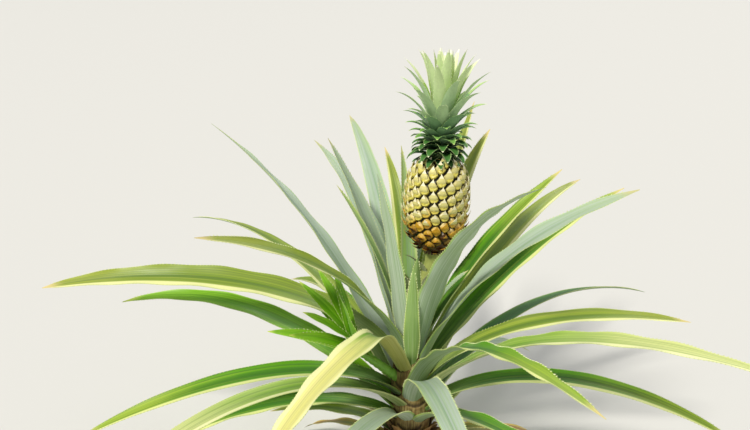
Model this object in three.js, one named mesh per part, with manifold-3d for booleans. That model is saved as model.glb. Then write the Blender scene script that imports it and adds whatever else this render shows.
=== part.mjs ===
// Pineapple plant in fruit: long channelled leaves set in a spiral round a short thick stem, one fruit with its
// crown on a stalk, short old leaves at the foot, and a young shoot at the side. Millimetres, +Z up. The origin is on
// the stem's axis, at the flat cut at ground level. Turns are in degrees round +Z from +X, and the photograph looks
// along +Y.
import * as THREE from 'three';
import { mergeVertices } from 'three/addons/utils/BufferGeometryUtils.js';
import Module from 'manifold-3d';

const wasm = await Module();
wasm.setup();

const goldenAngle = 137.508; // from each leaf to the next one up
const clearance = 0.3; // between pieces that rest on each other
const ribSteps = 120; // short steps in which a leaf's midrib is followed

const stem = {
  height: 305, footRadius: 41, waistRadius: 33, waistHeight: 45, bellyRadius: 37, bellyHeight: 170, topRadius: 20,
  sides: 24,
};
const basal = { leaves: 10, low: 30, high: 88, wall: 4, rings: 5 };
const rosette = { leaves: 38, firstTurn: 62, footLow: 100, footHigh: 288, rings: 10, mostBow: 78 };
const shoot = { leaves: 8, foot: 200, turn: 206, lean: 48, length: 120, footRadius: 9, topRadius: 7, rings: 4 };
const stalk = { radius: 12, sides: 10, steps: 8, height: 135, reach: 36, leanTurn: 8, bracts: 7, rings: 4 };
const fruit = {
  height: 160, radius: 52, endRadius: 16, baseRound: 2.2, topRound: 3, eyes: 170, eyeTurn: 137, eyeDepth: 5.5,
  bractRise: 3, lean: 2.5, leanTurn: 10,
};
const crown = {
  leaves: 41, footRadius: 11, coreRadius: 17, coreTopRadius: 9, coreHeight: 66, skirtHeight: 5, sides: 8,
};

// Leaves that stand out in the photograph have some habits of their own, and so do a few that would touch a
// neighbour. They are numbered from 1, the lowest and oldest.
const ownHabits = {
  1: { bend: 78 },
  2: { turn: 198, foot: 116, length: 560, rise: 46, bend: 80, ease: 0.6, twist: -20 },
  3: { turn: 343, foot: 130, length: 560, rise: 64, bend: 88, ease: 0.5, twist: 30 },
  6: { turn: 36 },
  7: { turn: 164, foot: 129, length: 580, rise: 43, bend: 56, ease: 1.3, sway: 22, width: 56, twist: -30 },
  8: { turn: 300, foot: 116 },
  11: { turn: 349, foot: 186, length: 500, rise: 74, bend: 84, ease: 0.5, twist: 30 },
  12: { foot: 147 },
  15: { turn: 201, foot: 167, length: 583, rise: 58, bend: 86, ease: 0.48, sway: -17, twist: -24 },
  16: { turn: 316, foot: 168 },
  18: {
    turn: 230, foot: 217, length: 510, rise: 60, bend: 44, ease: 1, sway: 9, fold: 58, foldAt: 0.23, width: 66,
    neck: 0.7,
  },
  19: { turn: 17, foot: 216, length: 490, rise: 54, bend: 26, ease: 0.9, twist: 30 },
  20: { turn: 148, foot: 196, length: 600, rise: 62, bend: 30, ease: 1 },
  21: { turn: 288, foot: 191 },
  22: { turn: 76, foot: 198 },
  23: { turn: 212, foot: 250, length: 490, rise: 75, bend: 62, ease: 0.65, twist: -40 },
  24: { turn: 336, foot: 236, length: 500, rise: 70, width: 54, neck: 0.85, twist: 45 },
  25: { turn: 118, foot: 242, length: 500 },
  26: { turn: 266, foot: 228, length: 220, rise: 78, bend: 8, width: 30, neck: 0.7 },
  27: { turn: 61, foot: 222, length: 500 },
  28: {
    turn: 183, foot: 228, length: 710, rise: 72, bend: 89, ease: 0.46, sway: -19, width: 60, neck: 0.75, twist: -60,
  },
  29: {
    turn: 296, foot: 245, length: 505, rise: 81, bend: 56, ease: 0.9, sway: 9, width: 54, neck: 0.62, twist: 0,
  },
  30: { turn: 97, foot: 254, length: 390, width: 40 },
  31: { turn: 231, foot: 256, length: 350, rise: 81, bend: 10, ease: 1.5, width: 40 },
  32: { turn: 2, foot: 263, length: 400, rise: 68, bend: 30, ease: 1, width: 50, neck: 0.72, twist: 25 },
  33: { turn: 142, foot: 269, length: 390, rise: 74, bend: 20, ease: 1 },
  34: { turn: 272, foot: 278, length: 180, rise: 80, bend: 12, ease: 1, width: 30 },
  35: { turn: 60, foot: 277, rise: 71 },
  36: { turn: 178, foot: 280, length: 300, width: 34 },
  37: { turn: 341, foot: 287, length: 150, rise: 72, width: 30 },
  38: { turn: 97, length: 330, width: 36 },
};

const up = new THREE.Vector3(0, 0, 1);
const degrees = THREE.MathUtils.degToRad;
const mix = THREE.MathUtils.lerp;

// A number from 0 to 1 that is always the same for the same leaf and purpose.
function chance(index, purpose) {
  const wave = Math.sin(index * 12.9898 + purpose * 78.233) * 43758.5453;
  return wave - Math.floor(wave);
}

// The same, from -1 to 1.
function spread(index, purpose) {
  return 2 * chance(index, purpose) - 1;
}

function smoothStep(from, to, value) {
  return THREE.MathUtils.smoothstep(value, from, to);
}

// A direction that leans from straight up by the given angle, towards the given turn.
function leaning(lean, turn) {
  const out = Math.sin(degrees(lean));
  return new THREE.Vector3(out * Math.cos(degrees(turn)), out * Math.sin(degrees(turn)), Math.cos(degrees(lean)));
}

// The photograph's side of the plant: 1 straight towards the camera and 0 from the sides round to the back.
function nearSide(turn) {
  return Math.max(0, -Math.sin(degrees(turn)));
}

// A geometry as a solid that can be joined and cut.
function toSolid(geometry) {
  const bare = geometry.clone();
  bare.deleteAttribute('normal');
  bare.deleteAttribute('uv');
  const merged = mergeVertices(bare, 1e-3);
  return new wasm.Manifold(new wasm.Mesh({
    numProp: 3,
    vertProperties: new Float32Array(merged.attributes.position.array),
    triVerts: new Uint32Array(merged.index.array),
  }));
}

// The outer skin of a solid's largest piece, as a geometry for a mesh.
function toGeometry(solid) {
  const largest = solid.decompose().reduce((a, b) => (b.volume() > a.volume() ? b : a));
  const { vertProperties, triVerts } = largest.getMesh();
  const geometry = new THREE.BufferGeometry();
  geometry.setAttribute('position', new THREE.BufferAttribute(vertProperties, 3));
  geometry.setIndex(new THREE.BufferAttribute(triVerts, 1));
  return geometry;
}

// A closed outline of [radius, height] points turned round the upright axis.
function turned(outline, sides) {
  const points = outline.map(([radius, height]) => new THREE.Vector2(radius, height));
  return new THREE.LatheGeometry(points, sides).rotateX(Math.PI / 2);
}

function piece(name, geometry, material) {
  const mesh = new THREE.Mesh(geometry, material);
  mesh.name = name;
  return mesh;
}

// The stem: how thick it is at each height, with a flare at the ground and a belly where most leaves sit.
function stemRadius(height) {
  const { footRadius, waistRadius, waistHeight, bellyRadius, bellyHeight, topRadius } = stem;
  if (height < waistHeight) return mix(footRadius, waistRadius, smoothStep(0, waistHeight, height));
  if (height < bellyHeight) return mix(waistRadius, bellyRadius, smoothStep(waistHeight, bellyHeight, height));
  return mix(bellyRadius, topRadius, smoothStep(bellyHeight, stem.height + 30, height));
}

// The stem as a turned solid, grown all over by the given amount.
function stemGeometry(growth) {
  const side = [0, 15, 30, 45, 85, 125, 150, 185, 220, 250, stem.height]
    .map((height) => [stemRadius(height) + growth, height]);
  side[0][1] -= growth;
  side.at(-1)[1] += growth;
  return turned([[0, side[0][1]], ...side, [0, side.at(-1)[1]]], stem.sides);
}

// How wide a blade is along its length: from its neck, as a share of its full width, out to 1 and on to a point.
function bladeTaper(along, neck) {
  return Math.max((1 - along) ** 0.8 * (1 + along), 0.03) * mix(neck, 1, smoothStep(0, 0.3, along));
}

// Follows a leaf's midrib and returns how the leaf stands at each of its rings: the place, the way it runs, the way
// across it and the way its upper face looks. It rises from its root, bends down under its own weight, may fold at
// one place, sways sideways and twists towards its tip.
function followMidrib(leaf, rings) {
  const stride = ribSteps / rings;
  const place = leaf.root.clone();
  const frames = [];
  const look = (u) => {
    const fold = leaf.fold ? leaf.fold * smoothStep(leaf.foldAt - 0.05, leaf.foldAt + 0.05, u) : 0;
    const rise = degrees(leaf.rise - leaf.bend * u ** leaf.ease - fold);
    const turn = degrees(leaf.turn + leaf.sway * u * u);
    const along = new THREE.Vector3(
      Math.cos(rise) * Math.cos(turn), Math.cos(rise) * Math.sin(turn), Math.sin(rise));
    const across = new THREE.Vector3(Math.sin(turn), -Math.cos(turn), 0);
    return { along, across };
  };
  for (let step = 0; step <= ribSteps; step++) {
    const u = step / ribSteps;
    if (step % stride === 0) {
      const { along, across } = look(u);
      across.applyAxisAngle(along, degrees(leaf.twist * u));
      const normal = new THREE.Vector3().crossVectors(across, along);
      frames.push({ u, place: place.clone(), along, across, normal });
    }
    place.addScaledVector(look(u + 0.5 / ribSteps).along, leaf.length / ribSteps);
  }
  return frames;
}

// The ring at which a leaf's midrib lies furthest from the straight line between its ends, and how far that is.
function bowOf(leaf, rings) {
  const places = followMidrib(leaf, rings).map((frame) => frame.place);
  const chord = new THREE.Line3(places[0], places[rings]);
  const bows = places.map((place) => chord.closestPointToPoint(place, true, new THREE.Vector3()).distanceTo(place));
  const depth = Math.max(...bows);
  return { ring: bows.indexOf(depth), depth };
}

// A leaf blade: a thin slab bent along its midrib and cupped across into a channel. The cup is the angle, in
// degrees, through which each half turns up, at the root and along the blade. It may be made from one ring to
// another instead of whole, and then starts a little clear of the stretch before it.
function bladeGeometry(leaf, rings, first = 0, last = rings) {
  const frames = followMidrib(leaf, rings).slice(first, last + 1);
  if (first > 0) frames[0].place.addScaledVector(frames[0].along, clearance);
  const geometry = new THREE.BoxGeometry(1, 1, 1, 2, last - first, 1);
  const position = geometry.attributes.position;
  const point = new THREE.Vector3();
  for (let i = 0; i < position.count; i++) {
    point.fromBufferAttribute(position, i);
    const frame = frames[Math.round((point.y + 0.5) * (last - first))];
    const across = 2 * point.x;
    const side = 2 * point.z;
    const cup = degrees(mix(leaf.rootCup, leaf.cup, smoothStep(0, 0.25, frame.u)));
    const roundness = leaf.width * bladeTaper(frame.u, leaf.neck) / 2 / cup;
    const thickness = leaf.thickness * (1 - 0.65 * across * across)
      * Math.min(1, 0.55 + 1.8 * frame.u) * Math.min(1, 0.2 + 1.6 * (1 - frame.u));
    const reach = roundness - side * thickness / 2;
    point.copy(frame.place)
      .addScaledVector(frame.across, reach * Math.sin(cup * across))
      .addScaledVector(frame.normal, roundness - reach * Math.cos(cup * across));
    position.setXYZ(i, point.x, point.y, point.z);
  }
  return geometry;
}

// The short old leaves at the foot of the stem. They grow from one sleeve that fits round it.
function basalLeaf(m) {
  const turn = 20 + m * goldenAngle + 8 * spread(m, 41);
  const height = mix(basal.low + 8, basal.high - 8, m / (basal.leaves - 1));
  return {
    turn,
    length: 225 + 40 * spread(m, 42),
    rise: 40 + 8 * spread(m, 43),
    bend: 70 + 6 * spread(m, 44),
    ease: 0.7,
    sway: 20 * spread(m, 45),
    twist: 25 * spread(m, 46),
    width: 34 + 3 * spread(m, 47),
    cup: 26,
    rootCup: 40,
    neck: 1,
    thickness: 2.7,
    root: leaning(90, turn).multiplyScalar(stemRadius(height) + basal.wall - 3).setZ(height),
  };
}

function basalSolid() {
  const heights = [basal.low, stem.waistHeight, mix(stem.waistHeight, basal.high, 0.5), basal.high];
  const outside = heights.map((height) => [stemRadius(height) + basal.wall, height]);
  const inside = heights.map((height) => [stemRadius(height) - basal.wall, height]).reverse();
  const pieces = [toSolid(turned([...outside, ...inside, outside[0]], stem.sides))];
  for (let m = 0; m < basal.leaves; m++) pieces.push(toSolid(bladeGeometry(basalLeaf(m), basal.rings)));
  return wasm.Manifold.union(pieces);
}

// Leaf number k of the rosette, from the lowest and oldest to the youngest in the heart.
function rosetteLeaf(k) {
  const young = k / (rosette.leaves - 1);
  const turn = rosette.firstTurn + k * goldenAngle + 5 * spread(k, 1);
  const leaf = {
    turn,
    foot: mix(rosette.footLow, rosette.footHigh, young),
    length: (400 + 310 * Math.sin(Math.PI * (0.22 + 0.74 * young)) + 45 * spread(k, 2))
      * (1 - 0.35 * nearSide(turn) * young),
    rise: mix(44, 82, young ** 0.8) - 12 * nearSide(turn) * young + 4 * spread(k, 3),
    bend: mix(88, 14, young ** 1.1) + 20 * nearSide(turn) * young + 10 * spread(k, 4),
    ease: mix(0.55, 1.1, young),
    sway: 14 * spread(k, 5),
    twist: 28 * spread(k, 6),
    width: mix(42, 49, Math.sin(Math.PI * young)) + 3 * spread(k, 7),
    cup: mix(24, 30, young),
    rootCup: 54,
    neck: 1,
    ...ownHabits[k + 1],
  };
  leaf.thickness = leaf.length / 100;
  leaf.root = leaning(90, leaf.turn).multiplyScalar(stemRadius(leaf.foot) - 3).setZ(leaf.foot);
  return leaf;
}

// The young shoot at the stem's side: a short leaning stalk with narrow leaves round its upper half.
const shootAxis = leaning(shoot.lean, shoot.turn);
const shootFoot = leaning(90, shoot.turn).multiplyScalar(stemRadius(shoot.foot) - 6).setZ(shoot.foot);

function shootLeaf(m) {
  const young = m / (shoot.leaves - 1);
  return {
    turn: shoot.turn - 16 + 42 * Math.sin(m * degrees(goldenAngle)),
    length: mix(200, 150, young) + 10 * spread(m, 32),
    rise: mix(36, 78, young) + 4 * spread(m, 33),
    bend: mix(30, 6, young),
    ease: 1,
    sway: 8 * spread(m, 34),
    twist: -75 + 15 * spread(m, 35),
    width: mix(31, 25, young),
    cup: 28,
    rootCup: 40,
    neck: 0.7,
    thickness: 2.5,
    root: shootFoot.clone().addScaledVector(shootAxis, mix(0.5, 0.97, young) * shoot.length),
  };
}

function shootSolid() {
  const { length, footRadius, topRadius } = shoot;
  const core = new THREE.CylinderGeometry(topRadius, footRadius, length, 8)
    .rotateX(Math.PI / 2)
    .translate(0, 0, length / 2)
    .applyQuaternion(new THREE.Quaternion().setFromUnitVectors(up, shootAxis))
    .translate(...shootFoot);
  const pieces = [toSolid(core)];
  for (let m = 0; m < shoot.leaves; m++) pieces.push(toSolid(bladeGeometry(shootLeaf(m), shoot.rings)));
  return wasm.Manifold.union(pieces);
}

// The fruit's stalk: it rises from the top of the stem and leans over to the middle of the fruit's base.
const fruitAxis = leaning(fruit.lean, fruit.leanTurn);
const stalkFoot = new THREE.Vector3(0, 0, stem.height + clearance);
const stalkTop = leaning(90, stalk.leanTurn).multiplyScalar(stalk.reach).setZ(stalkFoot.z + stalk.height);
const stalkCurve = new THREE.CubicBezierCurve3(
  stalkFoot, stalkFoot.clone().addScaledVector(up, 0.4 * stalk.height),
  stalkTop.clone().addScaledVector(fruitAxis, -0.4 * stalk.height), stalkTop);

function stalkBract(m) {
  const along = mix(0.12, 0.84, m / (stalk.bracts - 1));
  const turn = 250 + m * goldenAngle;
  return {
    turn,
    length: mix(100, 40, along) + 6 * spread(m, 11),
    rise: mix(74, 52, along),
    bend: mix(12, 46, along),
    ease: 1.3,
    sway: 0,
    twist: 0,
    width: mix(26, 15, along),
    cup: 30,
    rootCup: 40,
    neck: 0.8,
    thickness: 2.2,
    root: stalkCurve.getPoint(along).addScaledVector(leaning(90, turn), stalk.radius - 5),
  };
}

function stalkSolid() {
  const outline = new THREE.Shape().absarc(0, 0, stalk.radius, 0, 2 * Math.PI);
  const tube = new THREE.ExtrudeGeometry(outline, {
    extrudePath: stalkCurve, steps: stalk.steps, curveSegments: stalk.sides / 2, bevelEnabled: false,
  });
  const pieces = [toSolid(tube)];
  for (let m = 0; m < stalk.bracts; m++) pieces.push(toSolid(bladeGeometry(stalkBract(m), stalk.rings)));
  return wasm.Manifold.union(pieces);
}

// The fruit's outline from its flat base, at share 0, to its flat top, at share 1, with equal areas of skin in
// equal shares. It stands on its base with its axis along +Z.
function traceFruit(samples) {
  const points = [];
  let area = 0;
  for (let i = 0; i <= samples; i++) {
    const level = i / samples;
    const power = level < 0.5 ? fruit.baseRound : fruit.topRound;
    const bulge = (1 - Math.abs(2 * level - 1) ** power) ** (1 / power);
    const radius = Math.max(fruit.endRadius, fruit.radius * bulge * (0.96 + 0.04 * level));
    const height = level * fruit.height;
    const last = points.at(-1) ?? { radius, height };
    area += (radius + last.radius) * Math.hypot(radius - last.radius, height - last.height);
    points.push({ radius, height, area });
  }
  return points.map((point) => ({ ...point, share: point.area / area }));
}

const fruitOutline = traceFruit(400);

function fruitOutlineAt(share) {
  const kept = THREE.MathUtils.clamp(share, 0, 1);
  const next = Math.max(1, fruitOutline.findIndex((point) => point.share >= kept));
  const [low, high] = [fruitOutline[next - 1], fruitOutline[next]];
  const part = (kept - low.share) / (high.share - low.share || 1);
  return { radius: mix(low.radius, high.radius, part), height: mix(low.height, high.height, part) };
}

// The middle of eye number i. The eyes climb the fruit in a spiral, a little less than a golden angle apart, so that
// every 21st stands almost straight above.
function eyeSite(i) {
  const { radius, height } = fruitOutlineAt((i + 0.5) / fruit.eyes);
  return leaning(90, i * fruit.eyeTurn).multiplyScalar(radius).setZ(height);
}

// The way the skin looks at a place on the fruit.
function fruitOutward(place) {
  return new THREE.Vector3(place.x, place.y, 0.5 * (place.z - fruit.height / 2)).normalize();
}

// The fruit as one skin: each eye is a raised six-sided cushion, with the point of its bract above its middle, and
// the seams where three eyes meet are sunk. An eye's neighbours in the spiral are 8, 13 and 21 places away.
function fruitGeometry() {
  const positions = [];
  const faces = [];
  const seams = new Map();
  const keep = (point) => positions.push(point.x, point.y, point.z) / 3 - 1;
  const placeOf = (corner) => new THREE.Vector3().fromArray(positions, 3 * corner);
  const seam = (...eyes) => {
    const key = eyes.join(' ');
    if (!seams.has(key)) {
      const corner = eyes.reduce((sum, eye) => sum.add(eyeSite(eye)), new THREE.Vector3()).divideScalar(3);
      seams.set(key, keep(corner.addScaledVector(fruitOutward(corner), -0.35 * fruit.eyeDepth)));
    }
    return seams.get(key);
  };
  for (let i = 0; i < fruit.eyes; i++) {
    const site = eyeSite(i);
    const out = fruitOutward(site);
    const corners = [
      seam(i, i + 8, i + 21), seam(i, i + 13, i + 21), seam(i - 8, i, i + 13),
      seam(i - 21, i - 8, i), seam(i - 21, i - 13, i), seam(i - 13, i, i + 8),
    ];
    const shoulders = corners.map((corner) => keep(
      site.clone().lerp(placeOf(corner), 0.74).addScaledVector(out, 0.65 * fruit.eyeDepth)));
    const peak = site.clone().addScaledVector(out, fruit.eyeDepth + fruit.bractRise);
    const tip = keep(peak.setZ(site.z + fruit.bractRise));
    for (let n = 0; n < 6; n++) {
      const m = (n + 1) % 6;
      faces.push(tip, shoulders[n], shoulders[m]);
      faces.push(shoulders[n], corners[n], corners[m], shoulders[n], corners[m], shoulders[m]);
    }
  }
  closeEnds(faces, keep);
  const geometry = new THREE.BufferGeometry();
  geometry.setAttribute('position', new THREE.Float32BufferAttribute(positions, 3));
  geometry.setIndex(faces);
  return geometry;
}

// Closes the fruit's skin at its base and its top, from each open edge to the middle of that end.
function closeEnds(faces, keep) {
  const open = new Map();
  for (let i = 0; i < faces.length; i += 3) {
    for (const [from, to] of [[0, 1], [1, 2], [2, 0]]) {
      const edge = [faces[i + from], faces[i + to]];
      if (!open.delete(`${edge[1]} ${edge[0]}`)) open.set(edge.join(' '), edge);
    }
  }
  const loops = [];
  while (open.size) {
    const [first] = open.values();
    const loop = [first];
    open.delete(first.join(' '));
    while (loop.at(-1)[1] !== first[0]) {
      const next = [...open.values()].find((edge) => edge[0] === loop.at(-1)[1]);
      open.delete(next.join(' '));
      loop.push(next);
    }
    loops.push(loop);
  }
  loops.sort((a, b) => a[0][0] - b[0][0]);
  loops.forEach((loop, n) => {
    const pole = keep(new THREE.Vector3(0, 0, n * fruit.height));
    for (const [from, to] of loop) faces.push(to, from, pole);
  });
}

// The crown's short thick stem, wider at its lowest leaves than at its foot.
function crownCoreRadius(height) {
  const { footRadius, coreRadius, coreTopRadius, coreHeight, skirtHeight } = crown;
  if (height < skirtHeight) return mix(footRadius, coreRadius, height / skirtHeight);
  return mix(coreRadius, coreTopRadius, (height - skirtHeight) / (coreHeight - skirtHeight));
}

// Leaf number m of the crown, from the short curled ones at its foot to the upright ones in the middle.
function crownLeaf(m) {
  const young = m / (crown.leaves - 1);
  const turn = 40 + m * goldenAngle + 5 * spread(m, 21);
  const foot = mix(crown.skirtHeight, crown.coreHeight - 4, young ** 0.9);
  const bend = mix(100, 4, young ** 1.6) + 6 * spread(m, 24);
  return {
    turn,
    length: mix(47, 140, smoothStep(0.35, 0.85, young)) - 18 * smoothStep(0.85, 1, young) + 4 * spread(m, 22),
    rise: mix(-12, 88, young ** 1.25) + bend / 3 + 3 * spread(m, 23),
    bend,
    ease: 2,
    sway: 5 * spread(m, 25),
    twist: 8 * spread(m, 26),
    width: mix(23, 30, Math.sin(Math.PI * (0.15 + 0.6 * young))),
    cup: 28,
    rootCup: 40,
    neck: 0.6,
    thickness: 2.2,
    root: leaning(90, turn).multiplyScalar(crownCoreRadius(foot) - 4).setZ(foot),
  };
}

function crownSolid() {
  const side = [0, crown.skirtHeight, 24, 45, crown.coreHeight].map((height) => [crownCoreRadius(height), height]);
  const pieces = [toSolid(turned([[0, 0], ...side, [0, crown.coreHeight]], crown.sides))];
  for (let m = 0; m < crown.leaves; m++) {
    const rings = m < crown.leaves / 2 ? 3 : 2;
    pieces.push(toSolid(bladeGeometry(crownLeaf(m), rings)));
  }
  return wasm.Manifold.union(pieces);
}

const colours = {
  stem: new THREE.MeshStandardMaterial({ color: 0x8a7a52, roughness: 0.9, metalness: 0 }),
  basal: new THREE.MeshStandardMaterial({ color: 0x9c9a55, roughness: 0.7, metalness: 0 }),
  leaf: new THREE.MeshStandardMaterial({ color: 0x6f9a4c, roughness: 0.5, metalness: 0 }),
  shoot: new THREE.MeshStandardMaterial({ color: 0x6fb53a, roughness: 0.5, metalness: 0 }),
  stalk: new THREE.MeshStandardMaterial({ color: 0x9aa05a, roughness: 0.7, metalness: 0 }),
  fruit: new THREE.MeshStandardMaterial({ color: 0xd2b04c, roughness: 0.6, metalness: 0 }),
  crown: new THREE.MeshStandardMaterial({ color: 0x7da36a, roughness: 0.5, metalness: 0 }),
};

const plant = new THREE.Group();
const stemSpace = toSolid(stemGeometry(clearance));

plant.add(piece('stem', stemGeometry(0), colours.stem));
plant.add(piece('basal_leaves', toGeometry(basalSolid().subtract(stemSpace)), colours.basal));

// A leaf that bows far is two pieces, split where it bows the most.
for (let k = 0; k < rosette.leaves; k++) {
  const leaf = rosetteLeaf(k);
  const name = `leaf_${String(k + 1).padStart(2, '0')}`;
  const bow = bowOf(leaf, rosette.rings);
  const split = bow.depth > rosette.mostBow ? bow.ring : rosette.rings;
  const blade = toSolid(bladeGeometry(leaf, rosette.rings, 0, split)).subtract(stemSpace);
  plant.add(piece(name, toGeometry(blade), colours.leaf));
  if (split < rosette.rings) {
    plant.add(piece(`${name}_tip`, bladeGeometry(leaf, rosette.rings, split), colours.leaf));
  }
}

plant.add(piece('side_shoot', toGeometry(shootSolid().subtract(stemSpace)), colours.shoot));
plant.add(piece('stalk', toGeometry(stalkSolid()), colours.stalk));

const fruitPiece = piece('fruit', fruitGeometry(), colours.fruit);
const crownPiece = piece('crown', toGeometry(crownSolid()), colours.crown);
crownPiece.position.z = fruit.height + clearance;

const head = new THREE.Group();
head.position.copy(stalkTop).addScaledVector(fruitAxis, clearance);
head.quaternion.setFromUnitVectors(up, fruitAxis);
head.add(fruitPiece, crownPiece);
plant.add(head);

export default plant;
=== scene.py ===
import math
import random
from functools import partial

import bmesh
import bpy
from mathutils import Matrix, Vector
from mathutils.kdtree import KDTree


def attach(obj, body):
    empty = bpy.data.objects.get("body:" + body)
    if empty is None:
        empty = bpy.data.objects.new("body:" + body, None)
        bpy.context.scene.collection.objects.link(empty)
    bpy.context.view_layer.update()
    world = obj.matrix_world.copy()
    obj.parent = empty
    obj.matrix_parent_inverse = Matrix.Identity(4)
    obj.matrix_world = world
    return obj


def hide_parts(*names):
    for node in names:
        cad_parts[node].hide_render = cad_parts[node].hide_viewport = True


# A pineapple plant in fruit. Metres, +Z up, with the origin at the cut under its stem.
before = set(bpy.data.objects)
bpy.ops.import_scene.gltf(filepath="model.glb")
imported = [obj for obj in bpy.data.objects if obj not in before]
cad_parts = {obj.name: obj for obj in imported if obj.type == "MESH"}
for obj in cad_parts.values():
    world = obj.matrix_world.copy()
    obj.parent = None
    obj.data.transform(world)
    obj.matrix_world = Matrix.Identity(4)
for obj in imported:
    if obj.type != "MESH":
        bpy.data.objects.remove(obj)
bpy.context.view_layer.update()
print("frame loaded:", len(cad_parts), "solids")

goldenAngle = 137.508  # degrees from each leaf to the next one up
ribSteps = 120  # short steps in which a leaf's midrib is followed
dice = random.Random(11)


# Small sums that every piece uses

def mix(first, second, share):
    return first + (second - first) * share


def smoothStep(low, high, value):
    share = min(max((value - low) / (high - low), 0), 1)
    return share * share * (3 - 2 * share)


# A number from 0 to 1 that is always the same for the same leaf and purpose
def chance(index, purpose):
    wave = math.sin(index * 12.9898 + purpose * 78.233) * 43758.5453
    return wave - math.floor(wave)


def spread(index, purpose):
    return 2 * chance(index, purpose) - 1


# A direction that leans from straight up, towards a turn round +Z
def leaning(lean, turn):
    lean, turn = math.radians(lean), math.radians(turn)
    return Vector((math.sin(lean) * math.cos(turn), math.sin(lean) * math.sin(turn), math.cos(lean)))


def outAt(turn, radius, height):
    return leaning(90, turn) * radius + Vector((0, 0, height))


# Colours and finishes

def tone(code, strength=1):
    channels = [int(code[at:at + 2], 16) / 255 for at in (0, 2, 4)]
    return (*[strength * (c / 12.92 if c < 0.04045 else ((c + 0.055) / 1.055) ** 2.4) for c in channels], 1)


def addNode(tree, kind, inputs, **settings):
    made = tree.nodes.new(kind)
    for key, value in settings.items():
        setattr(made, key, value)
    for key, value in inputs.items():
        if isinstance(value, bpy.types.NodeSocket):
            tree.links.new(value, made.inputs[key])
        else:
            made.inputs[key].default_value = value
    return made


def blendColour(tree, share, first, second):
    inputs = {0: share, 6: first, 7: second}
    return addNode(tree, "ShaderNodeMix", inputs, data_type="RGBA", clamp_factor=True).outputs[2]


def layTone(tree, colour, share, code, strength=1):
    return blendColour(tree, share, colour, tone(code, strength))


def calculate(tree, operation, *values):
    return addNode(tree, "ShaderNodeMath", dict(enumerate(values)), operation=operation).outputs[0]


def fade(tree, value, low, high, least=0.0, most=1.0):
    inputs = {0: value, 1: low, 2: high, 3: least, 4: most}
    return addNode(tree, "ShaderNodeMapRange", inputs, interpolation_type="SMOOTHSTEP").outputs[0]


def placeOnPiece(tree):
    return addNode(tree, "ShaderNodeTexCoord", {}).outputs["Object"]


def readMark(tree, name):
    return addNode(tree, "ShaderNodeAttribute", {}, attribute_name=name).outputs["Fac"]


def noiseOn(tree, vector, scale, seed, detail=3.0, roughness=0.55):
    moved = addNode(tree, "ShaderNodeMapping", {"Vector": vector, "Location": seed, "Scale": scale})
    inputs = {"Vector": moved.outputs[0], "Scale": 1.0, "Detail": detail, "Roughness": roughness}
    return addNode(tree, "ShaderNodeTexNoise", inputs).outputs[0]


def startMaterial(name, roughness, coat=0.0, sheen=0.0, shine=0.5):
    material = bpy.data.materials.new(name)
    material.use_nodes = True
    tree = material.node_tree
    skin = tree.nodes["Principled BSDF"]
    skin.inputs["Roughness"].default_value = roughness
    skin.inputs["Specular IOR Level"].default_value = shine
    skin.inputs["Coat Weight"].default_value = coat
    skin.inputs["Coat Roughness"].default_value = 0.3
    skin.inputs["Sheen Weight"].default_value = sheen
    return material, tree, skin


def dressSkin(tree, skin, colour, height, strength, distance):
    tree.links.new(colour, skin.inputs["Base Color"])
    inputs = {"Strength": strength, "Distance": distance, "Height": height}
    bump = addNode(tree, "ShaderNodeBump", inputs)
    tree.links.new(bump.outputs[0], skin.inputs["Normal"])


# Each kind of leaf: its tones from root to tip, where its pale far end starts and how pale it gets, how far
# in its pale margin starts, and how much grey bloom and brown specks it has
usualLook = {"rootTo": 0.3, "farFrom": 0.6, "farShare": 0.6, "bloom": 0.03, "specks": 0.2}
leafKinds = {
    "olive": {
        "root": "849a50", "body": "8a9f2e", "middle": "5f7f18", "far": "adb44a", "margin": "eaeaa4",
        "tip": "dcc98a", "marginFrom": 0.74,
    },
    "green": {
        "root": "7ca04e", "body": "5a980e", "middle": "377204", "far": "a8be3c", "margin": "e6ea98",
        "tip": "dccb86", "farFrom": 0.5, "farShare": 0.75, "marginFrom": 0.72, "bloom": 0.02,
    },
    "pale": {
        "root": "86a656", "body": "92b63e", "middle": "729e26", "far": "d6da92", "margin": "f0f0b4",
        "tip": "e2d294", "farFrom": 0.4, "farShare": 0.85, "marginFrom": 0.62,
    },
    "lime": {
        "root": "acc884", "body": "9cc850", "middle": "7cb43a", "far": "bcd868", "margin": "dcea94",
        "tip": "dcdc8c", "farFrom": 0.5, "marginFrom": 0.7, "bloom": 0.3, "specks": 0.1,
    },
    "cream": {
        "root": "6a9c24", "body": "e9e48e", "middle": "ded97c", "far": "eadc8e", "margin": "f3f0b0",
        "tip": "dcc684", "rootTo": 0.42, "farShare": 0.7, "marginFrom": 0.6, "bloom": 0.06, "specks": 0.25,
    },
    "silver": {
        "root": "acbe9c", "body": "98b288", "middle": "769868", "far": "a2bc68", "margin": "98c850",
        "tip": "c8c284", "rootTo": 0.35, "farFrom": 0.62, "marginFrom": 0.84, "bloom": 0.5, "specks": 0.1,
    },
    "dark": {
        "root": "769656", "body": "3c7c1c", "middle": "276214", "far": "6a9630", "margin": "aacb58",
        "tip": "b8ac5c", "farFrom": 0.55, "marginFrom": 0.82, "bloom": 0.06, "specks": 0.15,
    },
    "fresh": {
        "root": "90be48", "body": "7cb41c", "middle": "5e9e10", "far": "98c83c", "margin": "aad650",
        "tip": "ccdc66", "rootTo": 0.2, "farShare": 0.5, "marginFrom": 0.86, "bloom": 0, "specks": 0,
    },
    "old": {
        "root": "7c6938", "body": "9c9138", "middle": "78852e", "far": "9c7236", "margin": "ccb462",
        "tip": "664724", "farFrom": 0.4, "farShare": 0.9, "marginFrom": 0.62, "bloom": 0.04, "specks": 0.8,
    },
}
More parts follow.
